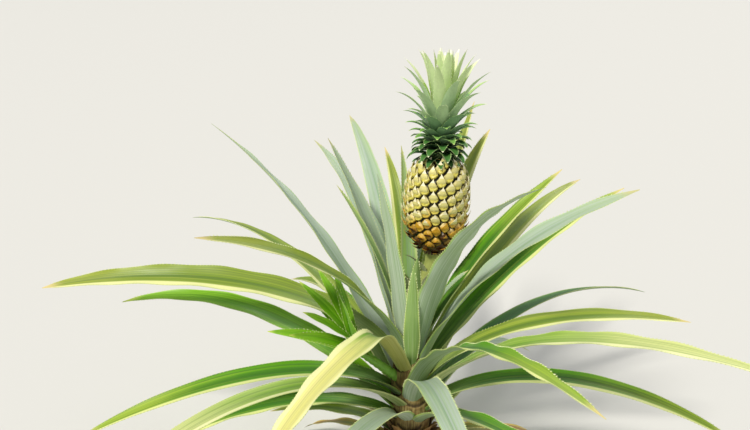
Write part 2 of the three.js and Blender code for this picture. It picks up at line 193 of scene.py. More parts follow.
undersides = {
    "cream": {"body": "d2ce7c", "lines": "b8b560", "margin": "e2dc90", "bloom": 0.08},
    "pale": {"body": "b2c074", "lines": "90a658", "margin": "d9de98", "bloom": 0.2},
    "fresh": {"body": "84bc28", "lines": "66a41a", "margin": "a2d24a", "bloom": 0.05},
    "old": {"body": "948c56", "lines": "75703c", "margin": "b39e58", "bloom": 0.15},
    "lime": {"body": "98b85e", "lines": "769e44", "margin": "b8d268", "bloom": 0.2},
    "silver": {"body": "b0c2a0", "lines": "8aa67c", "margin": "a8c86c", "bloom": 0.5},
    "other": {"body": "8fa872", "lines": "6c8d50", "margin": "a6c25c", "bloom": 0.25},
}
bloomTone = "c6d0ca"
speckTone = "8c5a2a"
leafRoughness = 0.38
leafShine = 0.3
wideMargin = 0.42  # how far the pale margin moves in on its wider side
grainDepth = 0.0007
# How finely each grain is laid across a leaf and along it
leafGrain = {
    "streak": (19, 1, 1), "line": (24, 1, 1), "band": (9, 1, 1), "patch": (1.5, 5, 1), "speck": (11, 80, 1),
}


# Where a point lies on its leaf, by the map "blade": the map, how far along, how far across from -1 to 1
# and how far off the middle
def bladeChart(tree):
    place = addNode(tree, "ShaderNodeUVMap", {}, uv_map="blade").outputs[0]
    split = addNode(tree, "ShaderNodeSeparateXYZ", {0: place})
    across = calculate(tree, "MULTIPLY_ADD", split.outputs[0], 2.0, -1.0)
    return place, split.outputs[1], across, calculate(tree, "ABSOLUTE", across)


# The upper face of one leaf. Its pale margin is wider on one side: 1 or -1 across it, or 0 for neither
def upperSkin(name, kind, index, wideSide=0):
    look = {**usualLook, **leafKinds[kind]}
    material, tree, skin = startMaterial(name, leafRoughness, shine=leafShine)
    place, along, across, offMiddle = bladeChart(tree)
    seed = (3.7 * index, 1.9 * index, 0.8 * index)
    streaks = noiseOn(tree, place, leafGrain["streak"], seed)
    bands = noiseOn(tree, place, leafGrain["band"], seed, 2.0)
    patches = noiseOn(tree, place, leafGrain["patch"], seed)
    specks = noiseOn(tree, place, leafGrain["speck"], seed, 2.0, 0.7)
    # From the root to the body, with the darker middle, and on to the far end
    patchy = calculate(tree, "MULTIPLY_ADD", patches, 0.3, calculate(tree, "ADD", along, -0.15))
    pastRoot = fade(tree, patchy, look["rootTo"] - 0.22, look["rootTo"])
    colour = blendColour(tree, pastRoot, tone(look["root"]), tone(look["body"]))
    inMiddle = fade(tree, calculate(tree, "MULTIPLY_ADD", bands, 0.35, offMiddle), 0.25, 0.7, 0.85, 0.0)
    offRoot = fade(tree, patchy, look["rootTo"] - 0.2, look["rootTo"])
    colour = layTone(tree, colour, calculate(tree, "MULTIPLY", inMiddle, offRoot), look["middle"])
    farOff = fade(tree, patchy, look["farFrom"], look["farFrom"] + 0.35, 0.0, look["farShare"])
    colour = layTone(tree, colour, farOff, look["far"])
    # Pale bands and dark streaks along it
    colour = layTone(tree, colour, fade(tree, bands, 0.52, 0.75, 0.0, 0.5), look["far"])
    colour = layTone(tree, colour, fade(tree, streaks, 0.4, 0.68, 0.0, 0.55), look["middle"], 0.55)
    # The pale margin, the bloom, the dry tip and the specks
    ragged = calculate(tree, "MULTIPLY_ADD", bands, 0.34, calculate(tree, "SUBTRACT", offMiddle, 0.17))
    ragged = calculate(tree, "MULTIPLY_ADD", across, wideMargin * wideSide, ragged)
    atMargin = fade(tree, ragged, look["marginFrom"], look["marginFrom"] + 0.2, 0.0, 0.9)
    colour = layTone(tree, colour, atMargin, look["margin"])
    silver = calculate(tree, "MULTIPLY", fade(tree, streaks, 0.34, 0.6, 0.2, 1.15), look["bloom"])
    colour = layTone(tree, colour, silver, bloomTone)
    dryTip = fade(tree, calculate(tree, "MULTIPLY_ADD", patches, 0.06, along), 0.95, 1.02)
    colour = layTone(tree, colour, dryTip, look["tip"])
    colour = layTone(tree, colour, fade(tree, specks, 0.66, 0.74, 0.0, look["specks"]), speckTone)
    dull = fade(tree, patches, 0.3, 0.7, leafRoughness - 0.08, leafRoughness + 0.12)
    tree.links.new(dull, skin.inputs["Roughness"])
    dressSkin(tree, skin, colour, streaks, 0.7, grainDepth)
    return material


# The lower face: paler, with fine lines along it and a grey bloom
def underSkin(name, kind, index):
    look = undersides.get(kind, undersides["other"])
    material, tree, skin = startMaterial(name, 0.5, sheen=0.05, shine=leafShine)
    place, _, _, offMiddle = bladeChart(tree)
    seed = (2.3 * index, 5.1 * index, 0.4 * index)
    lines = noiseOn(tree, place, leafGrain["line"], seed, 4.0)
    patches = noiseOn(tree, place, leafGrain["patch"], seed)
    inPatch = fade(tree, patches, 0.4, 0.8, 0.0, 0.5)
    colour = blendColour(tree, inPatch, tone(look["body"]), tone(look["margin"]))
    colour = layTone(tree, colour, fade(tree, lines, 0.35, 0.7, 0.0, 0.8), look["lines"])
    silver = calculate(tree, "MULTIPLY", fade(tree, lines, 0.34, 0.6, 1.1, 0.2), look["bloom"])
    colour = layTone(tree, colour, silver, bloomTone)
    ragged = calculate(tree, "MULTIPLY_ADD", patches, 0.2, offMiddle)
    colour = layTone(tree, colour, fade(tree, ragged, 0.9, 1.06, 0.0, 0.9), look["margin"])
    dressSkin(tree, skin, colour, lines, 0.8, grainDepth)
    return material


# Both faces of one leaf, each with its own kind of look and its own number for its grain
def faceSkins(name, kinds, numbers, wideSide=0):
    top = upperSkin(name + "Top", kinds[0], numbers[0], wideSide)
    return [top, underSkin(name + "Under", kinds[1], numbers[1])]


# One tone all over, with a fine grain
def plainSkin(name, code, roughness, grain=0.25):
    material, tree, skin = startMaterial(name, roughness)
    place = placeOnPiece(tree)
    mottle = noiseOn(tree, place, (260, 260, 140), (0, 0, 0))
    colour = blendColour(tree, fade(tree, mottle, 0.4, 0.75, 0.0, grain), tone(code), tone(code, 0.62))
    tree.links.new(colour, skin.inputs["Base Color"])
    return material


# Shapes

# Closes the open ends of what was made, points its faces outwards and keeps its sharp edges sharp
def tidyShape(bm, sharpAngle=50):
    rims = [edge for edge in bm.edges if edge.is_boundary]
    if rims:
        bmesh.ops.holes_fill(bm, edges=rims, sides=0)
    bmesh.ops.recalc_face_normals(bm, faces=bm.faces[:])
    for face in bm.faces:
        face.smooth = True
    for edge in bm.edges:
        if len(edge.link_faces) == 2 and edge.calc_face_angle(0) > math.radians(sharpAngle):
            edge.smooth = False


def addObject(name, data):
    made = bpy.data.objects.new(name, data)
    bpy.context.scene.collection.objects.link(made)
    return made


def addShape(bm, name, materials):
    mesh = bpy.data.meshes.new(name)
    bm.to_mesh(mesh)
    bm.free()
    for material in materials:
        mesh.materials.append(material)
    return addObject(name, mesh)


def finishPiece(bm, name, materials, nodes):
    piece = addShape(bm, name, materials)
    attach(piece, "root")
    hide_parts(*nodes)


# A body that is round all over: place(turn, level) gives its skin, with both from 0 to 1
def roundBody(bm, sides, rings, place):
    grid = bmesh.ops.create_grid(bm, x_segments=sides, y_segments=rings, size=0.5)["verts"]
    for vert in grid:
        vert.co = place(vert.co.x + 0.5, vert.co.y + 0.5)
    bmesh.ops.remove_doubles(bm, verts=grid, dist=1e-6)
    return [vert for vert in grid if vert.is_valid]


# How wide a blade is along its length, as a share of its full width
def bladeTaper(along, neck):
    return max((1 - along) ** 0.8 * (1 + along), 0.03) * mix(neck, 1, smoothStep(0, 0.3, along))


# Follows a leaf's midrib, and keeps its place and its ways along, across and up at each ring
def followMidrib(leaf, rings):
    def headingAt(along):
        fold = leaf["fold"] * smoothStep(leaf["foldAt"] - 0.05, leaf["foldAt"] + 0.05, along)
        rise = leaf["rise"] - leaf["bend"] * along ** leaf["ease"] - fold
        turn = leaf["turn"] + leaf["sway"] * along * along
        return leaning(90 - rise, turn), leaning(90, turn - 90)

    place = leaf["root"].copy()
    stations = []
    for step in range(ribSteps + 1):
        along = step / ribSteps
        if step % (ribSteps // rings) == 0:
            ahead, across = headingAt(along)
            across.rotate(Matrix.Rotation(math.radians(leaf["twist"] * along), 3, ahead))
            stations.append({
                "along": along, "place": place.copy(), "ahead": ahead, "across": across,
                "up": across.cross(ahead),
            })
        place += headingAt(along + 0.5 / ribSteps)[0] * (leaf["length"] / ribSteps)
    return stations


# A place on a blade: across from -1 to 1, and side from -1 under it to 1 on it
def bladePoint(leaf, station, across, side):
    along = station["along"]
    cup = math.radians(mix(leaf["rootCup"], leaf["cup"], smoothStep(0, 0.25, along)))
    roundness = leaf["width"] * bladeTaper(along, leaf["neck"]) / 2 / cup
    thickness = leaf["thickness"] * (1 - 0.75 * across * across)
    thickness *= min(1, 0.55 + 1.8 * along) * min(1, 0.2 + 1.6 * (1 - along))
    reach = roundness - side * thickness / 2
    phase = leaf["phase"] + (2.1 if across > 0 else 0)
    wave = math.sin(along * leaf["length"] / leaf["rippleLength"] + phase)
    ripple = leaf["ripple"] * abs(across) ** 3 * wave
    ripple *= smoothStep(0.05, 0.25, along) * smoothStep(1, 0.8, along)
    channel = leaf["channel"] * math.exp(-(across / 0.22) ** 2) * smoothStep(1, 0.7, along)
    lift = roundness - reach * math.cos(cup * across) + ripple - channel
    return station["place"] + station["across"] * (reach * math.sin(cup * across)) + station["up"] * lift


def closeAtMargin(across):
    return math.copysign(1 - max(0, 1 - abs(across)) ** 1.6, across)


def facesOf(verts):
    return {face for vert in verts for face in vert.link_faces}


# A flat slab to shape into a blade: -0.5 to 0.5 across and along, and 0 to 1 deep
def addSlab(bm, columns, rings):
    lower = bmesh.ops.create_grid(bm, x_segments=columns, y_segments=rings, size=0.5)["verts"]
    raised = bmesh.ops.extrude_face_region(bm, geom=list(facesOf(lower)))["geom"]
    upper = [item for item in raised if isinstance(item, bmesh.types.BMVert)]
    bmesh.ops.translate(bm, vec=(0, 0, 1), verts=upper)
    return lower + upper


# The material of a face by its side of the leaf (1 over, -1 under, 0 the margin). Its way across and along
# is not used
def plainPaint(side, across, along):
    return {1: 0, -1: 1, 0: 2}[side]


# What a leaf is like where nothing else is said of it
usualHabits = {
    "ease": 1, "sway": 0, "twist": 0, "fold": 0, "foldAt": 0.5, "rootCup": 40, "neck": 1, "channel": 0,
    "ripple": 0, "rippleLength": 0.02, "phase": 0,
}


# One leaf blade as a closed thin body. Its columns stand closer together at the margins
def addBlade(bm, leaf, columns, rings, paint=plainPaint):
    leaf = {**usualHabits, **leaf}
    chart = bm.loops.layers.uv.get("blade") or bm.loops.layers.uv.new("blade")
    slab = addSlab(bm, columns, rings)
    for face in facesOf(slab):
        middle = face.calc_center_median()
        side = round(2 * middle.z - 1) if abs(middle.z - 0.5) > 0.4 else 0
        face.material_index = paint(side, 2 * middle.x, middle.y + 0.5)
        for loop in face.loops:
            loop[chart].uv = (0.5 + 0.5 * closeAtMargin(2 * loop.vert.co.x), loop.vert.co.y + 0.5)
    stations = followMidrib(leaf, rings)
    for vert in slab:
        station = stations[round((vert.co.y + 0.5) * rings)]
        vert.co = bladePoint(leaf, station, closeAtMargin(2 * vert.co.x), 2 * vert.co.z - 1)
    return leaf, stations


# Small spines along both margins, which point towards the tip
def addSpines(bm, leaf, stations, spine, material):
    cup = math.radians(leaf["cup"])
    for edge in (-1, 1):
        run = spine["first"] * leaf["length"]
        while run < spine["last"] * leaf["length"]:
            where = run / leaf["length"] * (len(stations) - 1)
            low = stations[int(where)]
            ends = [bladePoint(leaf, near, 0.97 * edge, 0) for near in (low, stations[int(where) + 1])]
            foot = ends[0].lerp(ends[1], where % 1)
            outward = low["across"] * (edge * math.cos(cup)) + low["up"] * math.sin(cup)
            aim = (outward * 0.8 + low["ahead"] * mix(0.5, 1.0, dice.random())).normalized()
            size = spine["length"] * mix(0.7, 1.15, dice.random()) * mix(1, 0.6, low["along"])
            standing = aim.to_track_quat("Z", "Y").to_matrix().to_4x4()
            tooth = bmesh.ops.create_cone(
                bm, cap_ends=True, segments=3, radius1=spine["width"] / 2, radius2=0, depth=size,
                matrix=Matrix.Translation(foot + aim * (0.42 * size)) @ standing)
            for face in facesOf(tooth["verts"]):
                face.material_index = material
            run += spine["gap"] * mix(0.75, 1.25, dice.random())


# One leaf with its spines, as a piece of its own
def makeLeaf(name, leaf, grid, spine, skins, nodes):
    bm = bmesh.new()
    leaf, stations = addBlade(bm, leaf, grid["columns"], grid["rings"])
    tidyShape(bm)
    addSpines(bm, leaf, stations, spine, 3)
    finishPiece(bm, name, [*skins, marginSkin, spineSkin], nodes)


# The pale margin, the spines, and how the spines stand on large and small leaves and on the crown's
marginSkin = plainSkin("leafMargin", "bccb78", 0.5)
spineSkin = plainSkin("leafSpine", "cfd698", 0.45)
spines = {"first": 0.08, "last": 0.96, "gap": 0.0058, "length": 0.0044, "width": 0.0027}
smallSpines = {"first": 0.12, "last": 0.9, "gap": 0.008, "length": 0.0032, "width": 0.0022}
crownSpines = {"first": 0.15, "last": 0.9, "gap": 0.0075, "length": 0.0024, "width": 0.0016}


# The stem, with its flare at the ground and the scars of fallen leaves
stem = {
    "height": 0.305, "sides": 120, "rings": 200, "flutes": 20, "fluteDepth": 0.0006, "scars": 46,
    "scarsTo": 0.3, "scarDepth": 0.0016, "scarHeight": 0.012, "scarHalfWidth": 0.026, "scarSag": 0.01014,
    "scarLip": 0.0016,
    # Heights and radii of its foot, waist and belly, and of a point above its top
    "profile": ((0, 0.041), (0.045, 0.033), (0.17, 0.037), (0.335, 0.02)),
}


def stemRadius(height):
    for (low, lowRadius), (high, highRadius) in zip(stem["profile"], stem["profile"][1:]):
        if height < high:
            return mix(lowRadius, highRadius, smoothStep(low, high, height))
    return highRadius


# A place by the stem: off its skin, or inside it where the distance is less than 0
def byStem(turn, height, off):
    return outAt(turn, stemRadius(height) + off, height)


def stemSkin():
    material, tree, skin = startMaterial("stemSkin", 0.85)
    place = placeOnPiece(tree)
    fibres = noiseOn(tree, place, (420, 420, 26), (0, 0, 0), 4.0)
    patches = noiseOn(tree, place, (40, 40, 60), (3, 1, 0))
    colour = blendColour(tree, fade(tree, patches, 0.35, 0.7), tone("8d7344"), tone("b7a468"))
    colour = layTone(tree, colour, fade(tree, fibres, 0.4, 0.65, 0.0, 0.7), "5e472a")
    colour = layTone(tree, colour, fade(tree, readMark(tree, "scar"), 0.0, 1.0, 0.0, 0.85), "3c2c1a")
    dressSkin(tree, skin, colour, fibres, 0.8, 0.0015)
    return material


def makeStem():
    bm = bmesh.new()
    scarLayer = bm.verts.layers.float.new("scar")
    sites = []
    for m in range(stem["scars"]):
        sites.append((m * goldenAngle / 360 % 1, mix(0, stem["scarsTo"], m / stem["scars"])))

    def scarAt(turn, height):
        depth = 0
        for siteTurn, siteHeight in sites:
            off = abs((turn - siteTurn + 0.5) % 1 - 0.5) * 2 * math.pi * stemRadius(height)
            lift = height - siteHeight - stem["scarSag"] * (off / stem["scarHalfWidth"]) ** 2
            if off < stem["scarHalfWidth"]:
                below = smoothStep(-stem["scarLip"], 0, lift)
                depth = max(depth, below * (1 - smoothStep(0, stem["scarHeight"], lift)))
        return depth

    def place(turn, level):
        height = level * stem["height"]
        radius = stemRadius(height) + stem["fluteDepth"] * math.sin(2 * math.pi * stem["flutes"] * turn)
        return outAt(360 * turn, radius - stem["scarDepth"] * scarAt(turn, height), height)

    for vert in roundBody(bm, stem["sides"], stem["rings"], place):
        vert[scarLayer] = scarAt(math.atan2(vert.co.y, vert.co.x) / 2 / math.pi % 1, vert.co.z)
    tidyShape(bm, 60)
    finishPiece(bm, "stemBody", [stemSkin()], ["stem"])


makeStem()
print("stem made")

# Old leaves at the foot, and the dry sheaths under them
oldLeaves = {
    "count": 10, "low": 0.038, "high": 0.08, "offStem": 0.001, "length": 0.225, "width": 0.034,
    "columns": 8, "rings": 40, "driest": 7,
    "shared": {
        "ease": 0.7, "cup": 26, "thickness": 0.0016, "ripple": 0.0018, "rippleLength": 0.011,
        "channel": 0.0005,
    },
}
sheaths = {
    "count": 22, "low": 0.004, "high": 0.085, "offStem": -0.001, "length": 0.052, "width": 0.036,
    "columns": 6, "rings": 12,
    "shared": {
        "ease": 1.6, "cup": 30, "rootCup": 44, "thickness": 0.0011, "ripple": 0.0016, "rippleLength": 0.006,
    },
}


def oldLeaf(m):
    turn = 20 + m * goldenAngle + 8 * spread(m, 41)
    height = mix(oldLeaves["low"], oldLeaves["high"], m / (oldLeaves["count"] - 1))
    return {
        **oldLeaves["shared"],
        "turn": turn,
        "length": oldLeaves["length"] + 0.04 * spread(m, 42),
        "rise": 40 + 8 * spread(m, 43),
        "bend": 70 + 6 * spread(m, 44),
        "sway": 20 * spread(m, 45),
        "twist": 25 * spread(m, 46),
        "width": oldLeaves["width"] + 0.003 * spread(m, 47),
        "phase": 6 * chance(m, 48),
        "root": byStem(turn, height, oldLeaves["offStem"]),
    }


# A short torn sheath of a leaf that has gone, close round the foot of the stem
def sheathLeaf(m):
    turn = m * goldenAngle + 12 * spread(m, 52)
    height = mix(sheaths["low"], sheaths["high"], m / sheaths["count"])
    return {
        **sheaths["shared"],
        "turn": turn,
        "length": sheaths["length"] + 0.022 * chance(m, 53),
        "rise": 84 - 10 * chance(m, 54),
        "bend": 34 + 30 * chance(m, 55),
        "sway": 10 * spread(m, 56),
        "twist": 16 * spread(m, 57),
        "width": sheaths["width"] + 0.008 * chance(m, 58),
        "phase": 6 * chance(m, 59),
        "root": byStem(turn, height, sheaths["offStem"]),
    }


def makeOldLeaves():
    for m in range(oldLeaves["count"]):
        name = f"oldLeaf{m + 1:02d}"
        kind = "old" if m < oldLeaves["driest"] else "olive"
        skins = faceSkins(name, (kind, "old"), (60 + m, m))
        makeLeaf(name, oldLeaf(m), oldLeaves, smallSpines, skins, ["basal_leaves"])


def makeSheaths():
    bm = bmesh.new()
    for m in range(sheaths["count"]):
        addBlade(bm, sheathLeaf(m), sheaths["columns"], sheaths["rings"], lambda *where: m % 2)
    tidyShape(bm)
    skins = [plainSkin("drySheath", "a07c48", 0.8, 0.6), plainSkin("drySheathDark", "6f5232", 0.85, 0.6)]
    finishPiece(bm, "drySheaths", skins, ["basal_leaves"])


makeOldLeaves()
makeSheaths()
print("old leaves made")

# The rosette. Leaves that stand out have some habits of their own, by their number from the lowest one up
rosette = {
    "count": 38, "firstTurn": 62, "footLow": 0.1, "footHigh": 0.288, "offStem": -0.003,
    "narrow": 0.042, "wide": 0.049, "thin": 0.005, "mostRipple": 0.0022, "columns": 10, "rings": 60,
    "shared": {"rootCup": 54, "channel": 0.0007},
}
ownHabits = {
    1: {"bend": 78},
    2: {"turn": 198, "foot": 0.116, "length": 0.56, "rise": 46, "bend": 80, "ease": 0.6, "twist": -20},
    3: {"turn": 343, "foot": 0.13, "length": 0.56, "rise": 64, "bend": 88, "ease": 0.5, "twist": 30},
    6: {"turn": 36},
    7: {"turn": 164, "foot": 0.129, "length": 0.58, "rise": 43, "bend": 56, "ease": 1.3, "sway": 22,
        "width": 0.056, "twist": -30},
    8: {"turn": 300, "foot": 0.116},
    11: {"turn": 349, "foot": 0.186, "length": 0.5, "rise": 74, "bend": 84, "ease": 0.5, "twist": 30},
    12: {"foot": 0.147},
    15: {"turn": 201, "foot": 0.167, "length": 0.583, "rise": 58, "bend": 86, "ease": 0.48, "sway": -17,
         "twist": -24},
    16: {"turn": 316, "foot": 0.168},
    18: {"turn": 230, "foot": 0.217, "length": 0.51, "rise": 60, "bend": 44, "ease": 1, "sway": 9,
         "fold": 58, "foldAt": 0.23, "width": 0.066, "neck": 0.7},
    19: {"turn": 17, "foot": 0.216, "length": 0.49, "rise": 54, "bend": 26, "ease": 0.9, "twist": 30},
    20: {"turn": 148, "foot": 0.196, "length": 0.6, "rise": 62, "bend": 30, "ease": 1},
    21: {"turn": 288, "foot": 0.191},
    22: {"turn": 76, "foot": 0.198},
    23: {"turn": 212, "foot": 0.25, "length": 0.49, "rise": 75, "bend": 62, "ease": 0.65, "twist": -40},
    24: {"turn": 336, "foot": 0.236, "length": 0.5, "rise": 70, "width": 0.054, "neck": 0.85, "twist": 45},
    25: {"turn": 118, "foot": 0.242, "length": 0.5},
    26: {"turn": 266, "foot": 0.228, "length": 0.22, "rise": 78, "bend": 8, "width": 0.03, "neck": 0.7},
    27: {"turn": 61, "foot": 0.222, "length": 0.5},
    28: {"turn": 183, "foot": 0.228, "length": 0.71, "rise": 72, "bend": 89, "ease": 0.46, "sway": -19,
         "width": 0.06, "neck": 0.75, "twist": -60},
    29: {"turn": 296, "foot": 0.245, "length": 0.505, "rise": 81, "bend": 56, "ease": 0.9, "sway": 9,
         "width": 0.054, "neck": 0.62, "twist": 0},
    30: {"turn": 97, "foot": 0.254, "length": 0.39, "width": 0.04},
    31: {"turn": 231, "foot": 0.256, "length": 0.35, "rise": 81, "bend": 10, "ease": 1.5, "width": 0.04},
    32: {"turn": 2, "foot": 0.263, "length": 0.4, "rise": 68, "bend": 30, "ease": 1, "width": 0.05,
         "neck": 0.72, "twist": 25},
    33: {"turn": 142, "foot": 0.269, "length": 0.39, "rise": 74, "bend": 20, "ease": 1},
    34: {"turn": 272, "foot": 0.278, "length": 0.18, "rise": 80, "bend": 12, "ease": 1, "width": 0.03},
    35: {"turn": 60, "foot": 0.277, "rise": 71},
    36: {"turn": 178, "foot": 0.28, "length": 0.3, "width": 0.034},
    37: {"turn": 341, "foot": 0.287, "length": 0.15, "rise": 72, "width": 0.03},
    38: {"turn": 97, "length": 0.33, "width": 0.036},
}
ownKinds = {
    "green": [2, 3, 15, 19, 21, 32], "silver": [17, 20, 24, 25, 29, 31, 33], "olive": [11, 12, 23, 28],
    "lime": [26, 34, 36, 38], "pale": [10, 16], "cream": [18], "fresh": [7],
}
usualKinds = ["green", "olive", "silver", "dark"]
lightSided = ["olive", "green", "pale"]


def rosetteKind(k):
    own = [kind for kind, members in ownKinds.items() if k + 1 in members]
    return own[0] if own else usualKinds[int(len(usualKinds) * chance(k, 15))]


def rosetteLeaf(k):
    young = k / (rosette["count"] - 1)
    turn = rosette["firstTurn"] + k * goldenAngle + 5 * spread(k, 1)
    # How far it faces the camera: 1 straight at it, 0 from the sides round to the back
    near = max(0, -math.sin(math.radians(turn)))
    length = 0.4 + 0.31 * math.sin(math.pi * (0.22 + 0.74 * young)) + 0.045 * spread(k, 2)
    leaf = {
        **rosette["shared"],
        "turn": turn,
        "foot": mix(rosette["footLow"], rosette["footHigh"], young),
        "length": length * (1 - 0.35 * near * young),
        "rise": mix(44, 82, young ** 0.8) - 12 * near * young + 4 * spread(k, 3),
        "bend": mix(88, 14, young ** 1.1) + 20 * near * young + 10 * spread(k, 4),
        "ease": mix(0.55, 1.1, young),
        "sway": 14 * spread(k, 5),
        "twist": 28 * spread(k, 6),
        "width": mix(rosette["narrow"], rosette["wide"], math.sin(math.pi * young)) + 0.003 * spread(k, 7),
        "cup": mix(24, 30, young),
        "ripple": rosette["mostRipple"] * chance(k, 8),
        "rippleLength": 0.012 + 0.008 * chance(k, 9),
        "phase": 6 * chance(k, 10),
        **ownHabits.get(k + 1, {}),
    }
    leaf["thickness"] = leaf["length"] * rosette["thin"]
    leaf["root"] = byStem(leaf["turn"], leaf["foot"], rosette["offStem"])
    return leaf


def makeRosette():
    for k in range(rosette["count"]):
        leaf = rosetteLeaf(k)
        kind = rosetteKind(k)
        wideSide = math.copysign(1, math.cos(math.radians(leaf["turn"]))) if kind in lightSided else 0
        name = f"rosetteLeaf{k + 1:02d}"
        skins = faceSkins(name, (kind, kind), (k, k), wideSide)
        node = f"leaf_{k + 1:02d}"
        nodes = [part for part in (node, node + "_tip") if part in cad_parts]
        makeLeaf(name, leaf, rosette, spines, skins, nodes)


makeRosette()
print("rosette made")

# The young shoot at the stem's side
shoot = {
    "leaves": 8, "foot": 0.2, "offStem": -0.006, "turn": 206, "lean": 48, "length": 0.12,
    "footRadius": 0.009, "topRadius": 0.007, "ringDepth": 0.0006, "sides": 24, "stalkRings": 40,
    "columns": 8, "rings": 40,
    "shared": {
        "cup": 28, "neck": 0.7, "thickness": 0.0014, "ripple": 0.0008, "rippleLength": 0.009,
        "channel": 0.0004,
    },
}
shootAxis = leaning(shoot["lean"], shoot["turn"])
shootFoot = byStem(shoot["turn"], shoot["foot"], shoot["offStem"])


def shootLeaf(m):
    young = m / (shoot["leaves"] - 1)
    return {
        **shoot["shared"],
        "turn": shoot["turn"] - 16 + 42 * math.sin(m * math.radians(goldenAngle)),
        "length": mix(0.2, 0.15, young) + 0.01 * spread(m, 32),
        "rise": mix(36, 78, young) + 4 * spread(m, 33),
        "bend": mix(30, 6, young),
        "sway": 8 * spread(m, 34),
        "twist": -75 + 15 * spread(m, 35),
        "width": mix(0.031, 0.025, young),
        "phase": 6 * chance(m, 36),
        "root": shootFoot + shootAxis * (mix(0.5, 0.97, young) * shoot["length"]),
    }


def makeShoot():
    upright = Vector((0, 0, 1)).rotation_difference(shootAxis).to_matrix()
    bm = bmesh.new()

    def place(turn, level):
        rings = shoot["ringDepth"] * math.sin(60 * level)
        radius = mix(shoot["footRadius"], shoot["topRadius"], level) + rings
        return shootFoot + upright @ outAt(360 * turn, radius, level * shoot["length"])

    roundBody(bm, shoot["sides"], shoot["stalkRings"], place)
    tidyShape(bm)
    stalkSkin = plainSkin("shootStalkSkin", "8fc653", 0.5)
    finishPiece(bm, "shootStalk", [stalkSkin], ["side_shoot"])
    for m in range(shoot["leaves"]):
        name = f"shootLeaf{m + 1}"
        skins = faceSkins(name, ("fresh", "fresh"), (80 + m, m))
        makeLeaf(name, shootLeaf(m), shoot, smallSpines, skins, ["side_shoot"])


makeShoot()
print("side shoot made")

# The fruit, which leans a little on its stalk
fruit = {
    "height": 0.16, "radius": 0.052, "endRadius": 0.016, "baseRound": 2.2, "topRound": 3, "eyes": 170,
    "eyeTurn": 137, "lean": 2.5, "leanTurn": 10, "sides": 280, "rings": 230, "seamDepth": 0.0032,
    "eyeHeight": 0.0032, "domeHeight": 0.0018, "eyeHalfHeight": 0.0098, "eyeHalfWidth": 0.0102,
    "beadRadius": 0.0034, "beadHeight": 0.0016, "moatRadius": 0.0052, "moatWidth": 0.0012,
    "moatDepth": 0.0007, "eyeTilt": 0.0012, "riseOver": 0.008, "spareEyes": 21,
    "darkFrom": 0.054, "darkTo": 0.026, "ripeFrom": 0.04, "ripeTo": 0.085,
}
stalk = {
    "radius": 0.012, "height": 0.135, "reach": 0.036, "leanTurn": 8, "ribs": 9, "ribDepth": 0.0004,
    "swell": 0.002, "inset": 0.0006, "sides": 32, "rings": 60, "bracts": 7, "bractInset": 0.002,
    "columns": 6, "bractRings": 20,
    "shared": {
        "ease": 1.3, "cup": 30, "neck": 0.8, "thickness": 0.0014, "ripple": 0.0008, "rippleLength": 0.006,
    },
}
clearance = 0.0003
fruitAxis = leaning(fruit["lean"], fruit["leanTurn"])
fruitTurn = Vector((0, 0, 1)).rotation_difference(fruitAxis).to_matrix()
stalkFoot = Vector((0, 0, stem["height"] + clearance))
stalkTop = outAt(stalk["leanTurn"], stalk["reach"], stalkFoot.z + stalk["height"])
fruitBase = stalkTop + fruitAxis * clearance


def onFruit(point):
    return fruitBase + fruitTurn @ point


# The fruit's outline, with equal areas of skin in equal shares from its base to its top
def traceFruit(samples):
    points = []
    area = 0
    for step in range(samples + 1):
        level = step / samples
        power = fruit["baseRound"] if level < 0.5 else fruit["topRound"]
        bulge = (1 - abs(2 * level - 1) ** power) ** (1 / power)
        radius = max(fruit["endRadius"], fruit["radius"] * bulge * (0.96 + 0.04 * level))
        height = level * fruit["height"]
        if points:
            area += (radius + points[-1][0]) * math.hypot(radius - points[-1][0], height - points[-1][1])
        points.append((radius, height, area))
    return [(radius, height, reached / area) for radius, height, reached in points]


fruitOutline = traceFruit(400)


def fruitOutlineAt(share):
    kept = min(max(share, 0), 1)
    after = max(1, next(n for n, point in enumerate(fruitOutline) if point[2] >= kept))
    low, high = fruitOutline[after - 1:after + 1]
    part = (kept - low[2]) / ((high[2] - low[2]) or 1)
    return mix(low[0], high[0], part), mix(low[1], high[1], part)


# The eyes climb in a spiral a little under a golden angle apart, so every 21st stands almost above the first
def eyeSite(i):
    radius, height = fruitOutlineAt((i + 0.5) / fruit["eyes"])
    return outAt(i * fruit["eyeTurn"], radius, height)


def fruitOutward(place):
    return Vector((place.x, place.y, 0.5 * (place.z - fruit["height"] / 2))).normalized()


# What the rind's material reads at each point of it
rindMarks = ["seam", "bead", "tone", "rise"]


